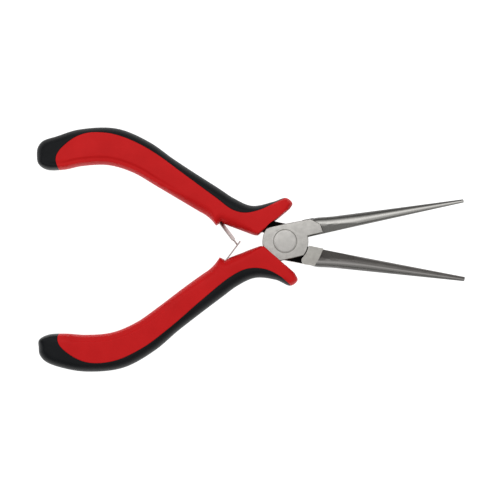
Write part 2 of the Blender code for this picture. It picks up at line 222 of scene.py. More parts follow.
# Fineness of the grips' meshes
RIM_STEPS = 16
LINE_STEPS = 10
INNER_RIM_POINTS = 900
FRONT_POINTS = 120
FRONT_STEPS = [0.0, 0.04, 0.1, 0.18, 0.28, 0.4, 0.52, 0.8]
SOFT_START_STEPS = [0.0, 0.1, 0.3]
STATION_STEP = 0.45
NUB_STEP = 0.12
SEAM_STEPS = [0, 0.04, 0.1, SEAM_FILLET, 0.4, 0.75, 1.2, 1.8]
ROUNDED_REACH = 5.0
ROUNDED_STEPS = 13
ROUNDED_SPREAD = 1.1
STEP_POINTS = 4
MIDDLE_POINTS = 3
EDGES_SHARE = 0.92

# Leaf springs
LEAF_THICKNESS = 0.4
LEAF_WIDTH = 5.0
TONGUE_WIDTH = 1.5
SLOT_WIDTH = 2.6
LOWER_LEAF = {
    "root": (-21.8, -1.9),
    "blade_deg": 40.0,
    "length": 8.55,
    "foot": [(-23.0, -2.97), (-27.4, -4.6)],
    "slot": (5.9, 8.2),
    "lean_deg": 0.0,
}
UPPER_LEAF = {
    "root": (-22.95, -1.75),
    "blade_deg": 41.7,
    "length": 9.3,
    "foot": [(-24.1, -3.1), (-28.4, -4.66)],
    "tongue_from": 6.9,
    "lean_deg": 13.0,
}
LEAN_START = -2.7
LEAN_LENGTH = 2.5
LEAF_EDGE = 0.08
BLADE_POINTS = (4, 1, 0)
LEAF_END_LENGTH = 3.2
LEAF_END_RINGS = 60
LEAF_STEP = 0.2
LEAST_HALF_WIDTH = 0.1
LEAF_POCKET_GAP = 0.2
SHOULDER_LENGTH = 0.5
TIP_CORNER = 0.6

# Studio, in metres, degrees and watts. A light is (name, azimuth, elevation, distance, width, height, power)
FLOOR_Z = -0.0002
FLOOR_SIZE = 3.0
FLOOR_GREY = 0.3
FLOOR_GLOW = 1.0
WORLD_SHADES = [(0.0, 0.3), (0.3, 0.32), (0.6, 0.6), (0.85, 0.9), (1.0, 0.95)]
WORLD_LEAN_DEG = 14.0
LIGHTS = [
    ("key_light", 196, 62, 0.9, 0.8, 0.6, 1.4),
    ("front_light", 5, 35, 1.0, 1.1, 0.3, 0.5),
    ("left_light", -95, 40, 1.0, 0.5, 0.5, 0.5),
    ("right_light", 95, 35, 1.0, 0.5, 0.4, 0.4),
]
CAMERA_DISTANCE = 0.9
CAMERA_ELEVATION_DEG = 88.0
CAMERA_TURN_DEG = -0.79
VIEW_CENTRE = (-0.00039, -0.00085, 0.0055)
VIEW_WIDTH = 0.175
SENSOR_WIDTH = 36.0


# Plan curves

def smooth_curve(points, per_span):
    """Points along a centripetal Catmull-Rom curve through the given points, of any number of coordinates."""
    p = np.array(points, float)
    p = np.vstack([2 * p[0] - p[1], p, 2 * p[-1] - p[-2]])
    knots = np.concatenate([[0], np.cumsum(np.linalg.norm(np.diff(p[:, :2], axis=0), axis=1) ** 0.5)])
    curve = []
    for k in range(1, len(p) - 2):
        t0, t1, t2, t3 = knots[k - 1 : k + 3]
        for t in np.linspace(t1, t2, per_span, endpoint=False):
            a1 = ((t1 - t) * p[k - 1] + (t - t0) * p[k]) / (t1 - t0)
            a2 = ((t2 - t) * p[k] + (t - t1) * p[k + 1]) / (t2 - t1)
            a3 = ((t3 - t) * p[k + 1] + (t - t2) * p[k + 2]) / (t3 - t2)
            b1 = ((t2 - t) * a1 + (t - t0) * a2) / (t2 - t0)
            b2 = ((t3 - t) * a2 + (t - t1) * a3) / (t3 - t1)
            curve.append(((t2 - t) * b1 + (t - t1) * b2) / (t2 - t1))
    curve.append(p[-2])
    return np.array(curve)


def lengths_along(curve):
    return np.concatenate([[0], np.cumsum(np.linalg.norm(np.diff(curve[:, :2], axis=0), axis=1))])


def at_lengths(curve, lengths):
    along = lengths_along(curve)
    return np.stack([np.interp(lengths, along, curve[:, k]) for k in range(curve.shape[1])], axis=1)


def crossing(first, second):
    """The lengths along two plan curves at which they first cross."""
    a, da = first[:-1, None, :2], np.diff(first[:, :2], axis=0)[:, None]
    b, db = second[None, :-1, :2], np.diff(second[:, :2], axis=0)[None]
    cross = da[..., 0] * db[..., 1] - da[..., 1] * db[..., 0]
    cross = np.where(abs(cross) < 1e-12, 1e-12, cross)
    gap = b - a
    t = (gap[..., 0] * db[..., 1] - gap[..., 1] * db[..., 0]) / cross
    u = (gap[..., 0] * da[..., 1] - gap[..., 1] * da[..., 0]) / cross
    hits = np.argwhere((t >= 0) & (t < 1) & (u >= 0) & (u < 1))
    i, j = hits[0]
    along_a, along_b = lengths_along(first), lengths_along(second)
    return (
        along_a[i] + t[i, j] * (along_a[i + 1] - along_a[i]),
        along_b[j] + u[i, j] * (along_b[j + 1] - along_b[j]),
    )


def offset_curve(curve, distance):
    """The curve moved sideways in plan, to its left for a positive distance."""
    along = np.gradient(curve[:, :2], axis=0)
    along /= np.linalg.norm(along, axis=1)[:, None]
    return curve[:, :2] + distance * np.stack([-along[:, 1], along[:, 0]], axis=1)


def arc(radius, start_deg, end_deg, steps, centre=(0, 0)):
    angles = np.radians(np.linspace(start_deg, end_deg, steps + 1))
    return [(centre[0] + radius * math.cos(a), centre[1] + radius * math.sin(a)) for a in angles]


# Meshes

SATIN_FACE, SHADED_FORGED_FACE, OXIDE_FACE, PAINTED_JAW_FACE, LAND_FACE = range(5)


def loft(rings, material_index=0):
    """A closed body through rings with the same number of points, capped at both ends."""
    bm = bmesh.new()
    loops = [[bm.verts.new(tuple(point)) for point in ring] for ring in rings]
    for near, far in zip(loops, loops[1:]):
        for k in range(len(near)):
            nxt = (k + 1) % len(near)
            bm.faces.new((near[k], near[nxt], far[nxt], far[k]))
    bm.faces.new(loops[0])
    bm.faces.new(loops[-1])
    for face in bm.faces:
        face.material_index = material_index
    return bm


def prism(outline, low_z, high_z, material_index=0):
    return loft([[(x, y, z) for x, y in outline] for z in (low_z, high_z)], material_index)


def inset(outline, distance):
    """A closed anticlockwise outline moved inwards, its corners mitred."""
    p = np.array(outline, float)
    edges = np.roll(p, -1, axis=0) - p
    edges /= np.linalg.norm(edges, axis=1)[:, None]
    inward = np.stack([-edges[:, 1], edges[:, 0]], axis=1)
    before = np.roll(inward, 1, axis=0)
    mitre = (inward + before) / (1 + np.sum(inward * before, axis=1))[:, None]
    return p + distance * mitre


def rounded_prism(outline, plain_z, face_z, bevel, face_index):
    """A prism from plain_z to face_z with a rounded edge round face_z, in the arms' finishes.

    The innermost part of the rounding has the face's finish."""
    side = 1 if face_z > plain_z else -1
    rings = [[(x, y, plain_z) for x, y in outline]]
    for a in np.radians(np.linspace(0, 90, BEVEL_STEPS + 1)):
        z = face_z - side * bevel * (1 - math.sin(a))
        rings.append([(x, y, z) for x, y in inset(outline, bevel * (1 - math.cos(a)))])
    bm = loft(rings)
    for face in bm.faces:
        centre_z = face.calc_center_median().z
        if abs(centre_z - face_z) < FACE_SHARE_OF_BEVEL * bevel:
            face.material_index = face_index
        elif abs(centre_z - plain_z) < 1e-6:
            face.material_index = OXIDE_FACE
        # The sides and the rest of the rounding take the forged steel, darkened as painted shade.
        else:
            face.material_index = SHADED_FORGED_FACE
    return bm


def turned(upper_half, segments, material_index=0):
    """A body turned about Z, flat at both ends and the same below as above, from (radius, z) points."""
    rings = []
    for r, z in upper_half + [(r, -z) for r, z in reversed(upper_half)]:
        rings.append([(x, y, z) for x, y in arc(r, 0, 360 - 360 / segments, segments - 1)])
    return loft(rings, material_index)


def clearance_disc(low_z, high_z, material_index):
    """The room that an arm's plate turns in."""
    return prism(arc(CLEARANCE_R, 0, 358, 179), low_z, high_z, material_index)


def make_piece(name, bm, place, materials, sharp_deg=SHARP_DEG):
    """An object made from a body that is moved by the place matrix, with its faces turned outward."""
    bmesh.ops.transform(bm, matrix=place, verts=bm.verts)
    bmesh.ops.remove_doubles(bm, verts=bm.verts, dist=2e-6)
    bmesh.ops.dissolve_degenerate(bm, edges=bm.edges, dist=1e-6)
    bmesh.ops.recalc_face_normals(bm, faces=bm.faces)
    mesh = bpy.data.meshes.new(name)
    bm.to_mesh(mesh)
    bm.free()
    obj = bpy.data.objects.new(name, mesh)
    bpy.context.scene.collection.objects.link(obj)
    for material in materials:
        mesh.materials.append(material)
    shade(obj, sharp_deg)
    return obj


def shade(obj, sharp_deg=SHARP_DEG):
    obj.data.shade_smooth()
    obj.data.set_sharp_from_angle(angle=math.radians(sharp_deg))


def combine(obj, bm, place, operation, materials):
    """Adds or cuts a body, and keeps the result in the object's own mesh."""
    other = make_piece("tool", bm, place, materials)
    modifier = obj.modifiers.new("combine", "BOOLEAN")
    modifier.operation = operation
    modifier.object = other
    graph = bpy.context.evaluated_depsgraph_get()
    mesh = bpy.data.meshes.new_from_object(obj.evaluated_get(graph))
    obj.modifiers.clear()
    obj.data = mesh
    bpy.data.objects.remove(other, do_unlink=True)


# Materials

SPECK_COLOUR = (0.1, 0.09, 0.08)
WEAR_COLOUR = (0.3, 0.29, 0.27)


def node_material(name):
    material = bpy.data.materials.new(name)
    material.use_nodes = True
    tree = material.node_tree
    return material, tree, tree.nodes["Principled BSDF"]


def texture_space(tree, scale=(1, 1, 1)):
    place = tree.nodes.new("ShaderNodeTexCoord")
    mapping = tree.nodes.new("ShaderNodeMapping")
    mapping.inputs["Scale"].default_value = scale
    tree.links.new(place.outputs["Object"], mapping.inputs["Vector"])
    return mapping.outputs["Vector"]


def noise(tree, space, scale, detail=3.0, roughness=0.55):
    node = tree.nodes.new("ShaderNodeTexNoise")
    node.inputs["Scale"].default_value = scale
    node.inputs["Detail"].default_value = detail
    node.inputs["Roughness"].default_value = roughness
    tree.links.new(space, node.inputs["Vector"])
    return node.outputs["Fac"]


def ramp(tree, value, stops):
    """Colours or greys at places from 0 to 1."""
    node = tree.nodes.new("ShaderNodeValToRGB")
    elements = node.color_ramp.elements
    while len(elements) < len(stops):
        elements.new(0.5)
    for element, (place, colour) in zip(elements, stops):
        element.position = place
        element.color = (colour, colour, colour, 1) if isinstance(colour, float) else (*colour, 1)
    tree.links.new(value, node.inputs["Fac"])
    return node.outputs["Color"]


def blend_colours(tree, mask, first, second):
    node = tree.nodes.new("ShaderNodeMix")
    node.data_type = "RGBA"
    for socket, colour in (("A", first), ("B", second)):
        target = next(s for s in node.inputs if s.name == socket and s.type == "RGBA")
        if isinstance(colour, tuple):
            target.default_value = (*colour, 1)
        else:
            tree.links.new(colour, target)
    tree.links.new(mask, node.inputs["Factor"])
    return next(s for s in node.outputs if s.type == "RGBA")


def bump(tree, shader, heights):
    """Bumps in a chain, from (height, distance in metres, strength)."""
    normal = None
    for height, distance, strength in heights:
        node = tree.nodes.new("ShaderNodeBump")
        node.inputs["Distance"].default_value = distance
        node.inputs["Strength"].default_value = strength
        tree.links.new(height, node.inputs["Height"])
        if normal:
            tree.links.new(normal, node.inputs["Normal"])
        normal = node.outputs["Normal"]
    tree.links.new(normal, shader.inputs["Normal"])


def steel(name, light, dark, roughness, grain_scale, grain_depth, specks=0.0, grain_space=(1, 1, 1)):
    """Bare steel: mottled colour, a fine grain, which may be stretched, and small dark specks."""
    material, tree, shader = node_material(name)
    shader.inputs["Metallic"].default_value = 1.0
    space = texture_space(tree)
    mottle = noise(tree, space, scale=420.0, detail=4.0)
    grain = noise(tree, texture_space(tree, grain_space), grain_scale, detail=2.0, roughness=0.7)
    colour = ramp(tree, mottle, [(0.3, dark), (0.7, light)])
    if specks:
        spots = ramp(tree, noise(tree, space, scale=1500.0, detail=2.0), [(0.66, 0.0), (0.78, specks)])
        colour = blend_colours(tree, spots, colour, SPECK_COLOUR)
    tree.links.new(colour, shader.inputs["Base Color"])
    low, high = roughness
    tree.links.new(ramp(tree, grain, [(0.3, low), (0.7, high)]), shader.inputs["Roughness"])
    bump(tree, shader, [(grain, grain_depth, 0.6), (mottle, 0.00004, 0.25)])
    return material


def painted_light_jaw_steel(name, place, stops):
    """Steel whose colour carries a painted highlight band and painted shade on its flanks, following how far
    a surface faces away from the closing line, from -1 to 1.
    """
    material, tree, shader = node_material(name)
    shader.inputs["Metallic"].default_value = 1.0
    outward = (place.to_3x3() @ Vector((0, 1, 0))).normalized()
    surface = tree.nodes.new("ShaderNodeTexCoord")
    facing = tree.nodes.new("ShaderNodeVectorMath")
    facing.operation = "DOT_PRODUCT"
    facing.inputs[1].default_value = outward
    tree.links.new(surface.outputs["Normal"], facing.inputs[0])
    spread = tree.nodes.new("ShaderNodeMapRange")
    spread.inputs["From Min"].default_value = -1.0
    tree.links.new(facing.outputs["Value"], spread.inputs["Value"])
    # Painted highlight and painted shade: the colour steps with the way the surface faces, not with the
    # lamps.
    painted_light_tones = ramp(tree, spread.outputs["Result"], [((1 + t) / 2, colour) for t, colour in stops])
    space = texture_space(tree)
    mottle = noise(tree, space, scale=300.0, detail=3.0)
    grain = noise(tree, texture_space(tree, (1, 0.1, 0.1)), scale=4500.0, detail=2.0, roughness=0.6)
    wear = ramp(tree, mottle, [(0.3, 0.0), (0.7, 0.14)])
    tree.links.new(blend_colours(tree, wear, painted_light_tones, WEAR_COLOUR), shader.inputs["Base Color"])
    tree.links.new(ramp(tree, grain, [(0.3, 0.26), (0.7, 0.36)]), shader.inputs["Roughness"])
    bump(tree, shader, [(grain, 0.000002, 0.5)])
    return material


def plastic(name, light, dark, roughness, grain_scale, grain_depth, specular):
    """Moulded plastic: slight colour drift, fine spark texture and rubbed patches."""
    material, tree, shader = node_material(name)
    shader.inputs["Specular IOR Level"].default_value = specular
    space = texture_space(tree)
    drift = noise(tree, space, scale=90.0, detail=3.0)
    grain = noise(tree, space, grain_scale, detail=2.0, roughness=0.6)
    rubbed = noise(tree, space, scale=40.0, detail=5.0)
    tree.links.new(ramp(tree, drift, [(0.3, dark), (0.7, light)]), shader.inputs["Base Color"])
    low, high = roughness
    patches = ramp(tree, rubbed, [(0.35, low), (0.65, high)])
    tree.links.new(patches, shader.inputs["Roughness"])
    bump(tree, shader, [(grain, grain_depth, 0.5), (drift, 0.00015, 0.2)])
    return material


SATIN = steel(
    "satin_blasted_steel", light=(0.52, 0.505, 0.48), dark=(0.42, 0.408, 0.387),
    roughness=(0.40, 0.52), grain_scale=2600.0, grain_depth=0.00006, specks=0.4,
)
LAND = steel(
    "satin_land_steel", light=(0.43, 0.417, 0.388), dark=(0.33, 0.319, 0.297),
    roughness=(0.42, 0.54), grain_scale=2600.0, grain_depth=0.00003, specks=0.3,
)
# Dark forged steel for the arms' sides, darkened further as painted shade on the side walls and edge
# roundings.
SHADED_FORGED = steel(
    "forged_side_steel_painted_shade", light=(0.17, 0.155, 0.135), dark=(0.09, 0.085, 0.075),
    roughness=(0.42, 0.6), grain_scale=2600.0, grain_depth=0.00004,
)
OXIDE = steel(
    "black_oxide_steel", light=(0.009, 0.0085, 0.008), dark=(0.005, 0.005, 0.005),
    roughness=(0.5, 0.65), grain_scale=3000.0, grain_depth=0.00003,
)
# Painted highlight and shade on the jaws: a bright band and dark flanks set by facing. The lower jaw's stops
# are darker overall, a painted shade on the same steel.
UPPER_JAW_PAINTED_STEEL = painted_light_jaw_steel("upper_jaw_steel_painted_highlight_shade", UPPER_FRAME, [
    (-1.0, (0.12, 0.118, 0.111)), (-0.8, (0.12, 0.118, 0.111)), (-0.66, (0.34, 0.333, 0.314)),
    (-0.3, (0.54, 0.53, 0.503)), (-0.1, (0.74, 0.725, 0.69)), (0.0, (0.7, 0.686, 0.652)),
    (0.1, (0.42, 0.412, 0.391)), (0.22, (0.19, 0.186, 0.176)), (0.4, (0.09, 0.088, 0.083)),
])
LOWER_JAW_PAINTED_STEEL = painted_light_jaw_steel("lower_jaw_steel_painted_highlight_shade", LOWER_FRAME, [
    (-1.0, (0.09, 0.082, 0.078)), (-0.7, (0.15, 0.14, 0.132)), (-0.3, (0.075, 0.07, 0.067)),
    (-0.05, (0.1, 0.094, 0.09)), (0.15, (0.37, 0.356, 0.343)), (0.35, (0.24, 0.231, 0.222)),
    (0.6, (0.17, 0.164, 0.158)), (0.8, (0.11, 0.106, 0.102)), (1.0, (0.06, 0.058, 0.056)),
])
RIVET = steel(
    "rivet_steel", light=(0.52, 0.505, 0.482), dark=(0.44, 0.427, 0.407),
    roughness=(0.38, 0.5), grain_scale=2600.0, grain_depth=0.00003, specks=0.3,
)
SPRING = steel(
    "spring_steel", light=(0.5, 0.47, 0.45), dark=(0.37, 0.345, 0.325),
    roughness=(0.26, 0.38), grain_scale=3600.0, grain_depth=0.00001, grain_space=(1, 1, 0.1),
)
RED = plastic(
    "red_hard_plastic", light=(0.6, 0.009, 0.01), dark=(0.53, 0.006, 0.007),
    roughness=(0.46, 0.55), grain_scale=6500.0, grain_depth=0.00002, specular=0.12,
)
BLACK = plastic(
    "black_soft_plastic", light=(0.0055, 0.0063, 0.0078), dark=(0.0035, 0.0042, 0.005),
    roughness=(0.4, 0.5), grain_scale=5200.0, grain_depth=0.00003, specular=0.13,
)


# Arms

def upper_head_outline(lift):
    """The lap plate, its neck and the land behind the jaw, anticlockwise. The lift moves its outer edge."""
    right_end = math.degrees(math.asin(HEAD_INNER_Y / NOTCH_R))
    left_start = 180 + math.degrees(math.asin(PLATE_CORNER_Y / PLATE_R))
    outline = arc(NOTCH_R, right_end, 0.7, 24)
    outline += [(13.62, JAW_MEETING_Y), (13.28, 3.09), (10.2, 5.62 + 1.5 * lift)]
    outline += [(1.0, 5.92 + lift), (-4.2, 5.96), (-4.95, 5.8)]
    outline += arc(PLATE_R, PLATE_TOP_DEG, left_start, 30)
    return outline + NECK[::-1]


def lower_land_outline(lift):
    """The land under the jaw, outside the lap joint's recess. The lift moves its outer edge."""
    outline = arc(SHOULDER_R, 34.0, 0.7, 14)
    outline += [(13.3, JAW_MEETING_Y), (12.7, 3.0), (11.6, 5.85 + lift), (8.6, 5.97 + lift)]
    corner = [(8.6, 5.97 + lift), (7.7, 5.9 + lift), (7.15, 5.45 + lift / 2), (7.09, 4.78)]
    return outline + smooth_curve(corner, 4).tolist()[1:-1]


def jaw_ring(x, edges):
    """The jaw's section: round at the tip, and squarer, deeper and flatter inside towards its root."""
    ends = (JAW_START_X, JAW_TIP_X)
    inner = np.interp(x, ends, edges["inner"])
    width = np.interp(x, ends, edges["outer"]) + np.interp(x, *zip(*JAW_FLARE)) - inner
    root_width = edges["outer"][0] - edges["inner"][0]
    left = max(0.0, (JAW_ROUND_X - x) / (JAW_ROUND_X - JAW_START_X))
    half_z = width / 2 + (JAW_ROOT_HALF_Z - root_width / 2) * left**JAW_DEPTH_FADE
    power = 2 + JAW_SQUARENESS * left**JAW_SQUARE_FADE
    from_edge = max(0.0, 1 - (JAW_TIP_X - x) / TIP_EDGE_R)
    shrink = 1 - 2 * TIP_EDGE_R / width * (1 - math.sqrt(1 - from_edge**2))
    centre = inner + width / 2
    ring = []
    for a in np.linspace(0, math.tau, JAW_RING_POINTS, endpoint=False):
        y = math.copysign(abs(math.cos(a)) ** (2 / power), math.cos(a)) * shrink * width / 2
        z = math.copysign(abs(math.sin(a)) ** (2 / power), math.sin(a)) * half_z * shrink
        inwards = FLAT_Y + edges["inner"][0] - centre - y
        flat = FLAT_Z + FLAT_RISE * (x - FLAT_X) - FLAT_FALL * inwards
        ring.append((x, centre + y, math.copysign(min(abs(z), max(flat, 0)), z)))
    return ring


def jaw_body(edges):
    length = np.linspace(JAW_START_X, JAW_TIP_X - TIP_LENGTH, JAW_RINGS)
    tip = JAW_TIP_X - 2 * TIP_EDGE_R * np.linspace(1, 0, TIP_RINGS) ** 2
    places = np.unique(np.concatenate([length, tip]).round(4))
    return loft([jaw_ring(x, edges) for x in places], PAINTED_JAW_FACE)


def rivet_hole():
    flare = RIVET_HOLE_R + RIVET_HOLE_EDGE
    edge = [(flare, HALF_HEAD), (RIVET_HOLE_R, HALF_HEAD - RIVET_EDGE_DEPTH)]
    return turned([(flare + CUT_PAST, HALF_HEAD + CUT_PAST)] + edge, RIVET_SEGMENTS, LAND_FACE)


def make_arm(prefix, place, edges, painted_jaw_steel, body):
    """A steel arm, joined and cut in the arm frame and then moved to its place."""
    finishes = [SATIN, SHADED_FORGED, OXIDE, painted_jaw_steel, LAND]
    here = Matrix.Identity(4)
    plate = rounded_prism(upper_head_outline(edges["lift"]), LAP_Z, HALF_HEAD, HEAD_BEVEL, SATIN_FACE)
    arm = make_piece(f"{prefix}_jaw_arm_steel", plate, here, finishes)
    neck = (NECK + [NECK_UNDER_PLATE])[::-1]
    land = lower_land_outline(edges["lift"])[::-1]
    steps = [
        ("UNION", prism(neck, -HALF_HEAD, LAP_Z + OVERLAP, OXIDE_FACE)),
        ("DIFFERENCE", clearance_disc(-HALF_HEAD - CUT_PAST, LAP_Z, OXIDE_FACE)),
        ("DIFFERENCE", rivet_hole()),
        ("UNION", rounded_prism(land, LAP_Z + OVERLAP, -HALF_HEAD, HEAD_BEVEL, LAND_FACE)),
        ("UNION", jaw_body(edges)),
    ]
    for operation, solid in steps:
        combine(arm, solid, here, operation, finishes)
    arm.data.transform(place)
    shade(arm, ARM_SHARP_DEG)
    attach(arm, body)
    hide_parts(f"{prefix}_jaw_arm")


def make_rivet():
    edge = [(RIVET_R - RIVET_EDGE, HALF_HEAD), (RIVET_R, HALF_HEAD - RIVET_EDGE_DEPTH)]
    rivet = turned([(RIVET_CROWN_R, HALF_HEAD + RIVET_CROWN)] + edge, RIVET_SEGMENTS)
    rivet = make_piece("pivot_rivet_flush", rivet, UPPER_FRAME, [RIVET])
    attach(rivet, "upper_jaw_side")
    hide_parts("pivot_rivet")


# Grips

def grip_rim(grip):
    """The grip's plan from the guard's front, round the outer side and far end, to the inner front corner.

    Each point carries the width over which the surface rounds down to it."""
    stations = grip["stations"]
    outer, inner = [], []
    for k, (inner_x, inner_y, outer_x, outer_y) in enumerate(stations):
        outer.append((outer_x, outer_y, np.interp(k, *zip(*OUTER_ROUNDING))))
        inner.append((inner_x, inner_y, np.interp(k, *zip(*INNER_ROUNDING))))
    last = stations[-1]
    end = ((last[0] + last[2]) / 2 - grip["end_bulge"], (last[1] + last[3]) / 2, END_ROUNDING)
    return smooth_curve(outer + [end] + inner[::-1], RIM_STEPS)


def with_nub(inner, grip):
    """The inner rim with the stop for the spring: a steep front and a long hollow back."""
    inner = inner.copy()
    x = inner[:, 0] - grip["nub_x"]
    back = np.clip(1 + x / NUB_BACK, 0, 1) ** NUB_HOLLOW * (x <= 0)
    front = np.clip(1 - x / NUB_FRONT, 0, 1) * (x > 0)
    height = back + front
    inner[:, 1] += NUB_HEIGHT * height
    near = np.clip(NUB_EDGE_BLEND * height, 0, 1)
    inner[:, 2] += (NUB_EDGE_R - inner[:, 2]) * near
    return inner


def split_rim(grip):
    """The rim's outer part, up to the middle of the far end, and the rest of it, with the nub."""
    rim = grip_rim(grip)
    middle = len(grip["stations"]) * RIM_STEPS
    inner = rim[middle:]
    inner = at_lengths(inner, np.linspace(0, lengths_along(inner)[-1], INNER_RIM_POINTS))
    return rim[: middle + 1], with_nub(inner, grip)


def distance_to(curve, points):
    """The distance from each point to a plan curve, and the least share of the curve's rounding width."""
    start, step = curve[:-1], np.diff(curve, axis=0)
    best, share = np.full(len(points), np.inf), np.full(len(points), np.inf)
    for a, d in zip(start, step):
        t = np.clip((points - a[:2]) @ d[:2] / max(d[:2] @ d[:2], 1e-12), 0, 1)
        away = np.hypot(*(points - a[:2] - t[:, None] * d[:2]).T)
        best = np.minimum(best, away)
        share = np.minimum(share, away / (a[2] + t * d[2]))
    return best, share


def surface_height(points, outer, inner, front):
    """Half the grip's thickness at points in plan."""
    from_outer, share_outer = distance_to(outer, points)
    from_inner, share_inner = distance_to(inner, points)
    nearest = np.min([share_outer, share_inner, distance_to(front, points)[1]], axis=0)
    across = np.clip((from_inner - RIDGE_IN) / (from_inner + from_outer - RIDGE_IN + 1e-6), 0, 1)
    top = HALF_GRIP - OUTWARD_FALL * across**FALL_POWER
    drop = np.interp(from_inner, STEP_FROM_INNER, (STEP_DROP, 0))
    top -= drop * np.interp(points[:, 0], *zip(*STEP_FADE))
    side = np.minimum(nearest, 1)
    side = (HALF_GRIP + SIDE_OVER_TOP) * (1 - (1 - side) ** SIDE_POWER) ** (1 / SIDE_POWER)
    mix = np.clip(0.5 + 0.5 * (side - top) / SIDE_TO_TOP_BLEND, 0, 1)
    return side * (1 - mix) + top * mix - SIDE_TO_TOP_BLEND * mix * (1 - mix)


def strip_body(low_rail, high_rail, height_at, seam_side):
    """A closed body between two rails in plan with the same number of stations.

    seam_side is 0 or 1 for the rail along which the body ends in a wall with a small fillet."""
    rounding = ROUNDED_REACH * (1 - np.cos(np.radians(np.linspace(0, 90, ROUNDED_STEPS)))) ** ROUNDED_SPREAD
    rounding = np.union1d(rounding, np.linspace(*STEP_FROM_INNER, STEP_POINTS))
    seam = np.array(SEAM_STEPS)
    near, far = (seam, rounding) if seam_side == 0 else (rounding, seam)
    low_rail, high_rail = low_rail[:, :2], high_rail[:, :2]
    widths = np.linalg.norm(high_rail - low_rail, axis=1)
    plan, seam_distance = [], []
    for low, high, width in zip(low_rail, high_rail, widths):
        shrink = min(1.0, EDGES_SHARE * width / (near[-1] + far[-1]))
        middle = np.linspace(near[-1] * shrink, width - far[-1] * shrink, MIDDLE_POINTS + 2)[1:-1]
        t = np.concatenate([near * shrink, middle, (width - far * shrink)[::-1]]) / max(width, 1e-9)
        plan.append(low + (high - low) * t[:, None])
        seam_distance.append(t * width if seam_side == 0 else (1 - t) * width)
    plan, seam_distance = np.array(plan), np.array(seam_distance)
    heights = height_at(plan.reshape(-1, 2)).reshape(seam_distance.shape)
    short = np.clip(SEAM_FILLET - seam_distance, 0, SEAM_FILLET)
    heights = heights - (SEAM_FILLET - np.sqrt(np.maximum(SEAM_FILLET**2 - short**2, 0)))
    heights = np.maximum(heights, 0)
    wall = 0 if seam_side == 0 else -1
    rings = []
    for points, z in zip(plan, heights):
        top = [(x, y, h) for (x, y), h in zip(points, z)]
        bottom = [(x, y, -h) for (x, y), h in zip(points[::-1], z[::-1])]
        flank = [(*points[wall], z[wall] * share) for share in (0.5, 0, -0.5)]
        rings.append(top + flank + bottom if wall == -1 else top + bottom + flank[::-1])
    return loft(rings)


def nearest_length(curve, point):
    return lengths_along(curve)[np.argmin(np.linalg.norm(curve[:, :2] - point, axis=1))]


def from_length(curve, start):
    """The part of a curve beyond a length along it."""
    along = lengths_along(curve)
    return np.vstack([at_lengths(curve, [start]), curve[along > start + 1e-6]])


def upto_length(curve, end):
    along = lengths_along(curve)
    return np.vstack([curve[along < end - 1e-6], at_lengths(curve, [end])])


def matched_rails(low, high, pairs, fine_start, fine_low=()):
    """Two rails with one point each per station, so that the paired lengths (low, high) face each other.

    fine_start adds stations along the high rail, and fine_low along the low rail."""
    low_end, high_end = lengths_along(low)[-1], lengths_along(high)[-1]
    kept = [(0.0, 0.0)]
    for a, b in sorted(pairs, key=lambda pair: pair[1]):
        if a > kept[-1][0] and b > kept[-1][1] and a < low_end and b < high_end:
            kept.append((a, b))
    kept = np.array(kept + [(low_end, high_end)])
    fine = np.interp(fine_low, kept[:, 0], kept[:, 1])
    coarse = np.linspace(fine_start[-1], high_end, int(high_end / STATION_STEP))
    coarse = coarse[(coarse < fine.min(initial=np.inf)) | (coarse > fine.max(initial=-np.inf))]
    stations = np.unique(np.concatenate([fine_start, coarse, fine]))
    return at_lengths(low, np.interp(stations, kept[:, 1], kept[:, 0])), at_lengths(high, stations)


def grip_lines(grip):
    """Lines across the grip, from its inner to just past its outer rim, up to the last crossed station."""
    lines = smooth_curve(grip["stations"][: LAST_CROSSED_STATION + 1], LINE_STEPS)[1:]
    for line in lines:
        low, high = line[:2], line[2:]
        yield np.array([low, low + LINE_REACH * (high - low)])


def hard_rails(grip, outer, inner):
    """The hard shell's rails: the inner rim, and the front of the outer rim followed by the parting."""
    edge = offset_curve(smooth_curve(grip["parting"], RIM_STEPS), SEAM_OVERLAP)
    at_edge, at_outer = crossing(edge, outer)
    edge = from_length(edge, at_edge)
    end_edge, end_inner = crossing(edge, inner)
    low = upto_length(inner, end_inner)
    high = np.vstack([upto_length(outer, at_outer)[:, :2], upto_length(edge, end_edge)[1:]])
    pairs = [(nearest_length(low, line[0]), crossing(line, high)[1]) for line in grip_lines(grip)]
    before_nub = nearest_length(low, (grip["nub_x"] + NUB_FRONT + NUB_MARGIN, NUB_RIM_Y))
    past_nub = nearest_length(low, (grip["nub_x"] - NUB_BACK - NUB_MARGIN, NUB_RIM_Y))
    fine_low = np.arange(before_nub, past_nub, NUB_STEP)
    return matched_rails(low, high, pairs, np.array(FRONT_STEPS), fine_low)


def soft_rails(grip, outer, inner):
    """The soft inlay's rails: the parting, and the rest of the outer rim followed by the far end."""
    edge = offset_curve(smooth_curve(grip["parting"], RIM_STEPS), -SEAM_OVERLAP)
    at_edge, at_outer = crossing(edge, outer)
    edge = from_length(edge, at_edge)
    end_edge, end_inner = crossing(edge, inner)
    low = upto_length(edge, end_edge)
    round_end = inner[::-1]
    far_side = upto_length(round_end, lengths_along(round_end)[-1] - end_inner)
    high = np.vstack([from_length(outer, at_outer)[:-1], far_side])[:, :2]
    pairs = []
    for line in grip_lines(grip):
        try:
            pairs.append((crossing(line, low)[1], crossing(line, high)[1]))
        except IndexError:
            continue
    return matched_rails(low, high, pairs, np.array(SOFT_START_STEPS))


def blade_direction(leaf):
    angle = math.radians(leaf["blade_deg"])
    return math.cos(angle), math.sin(angle)


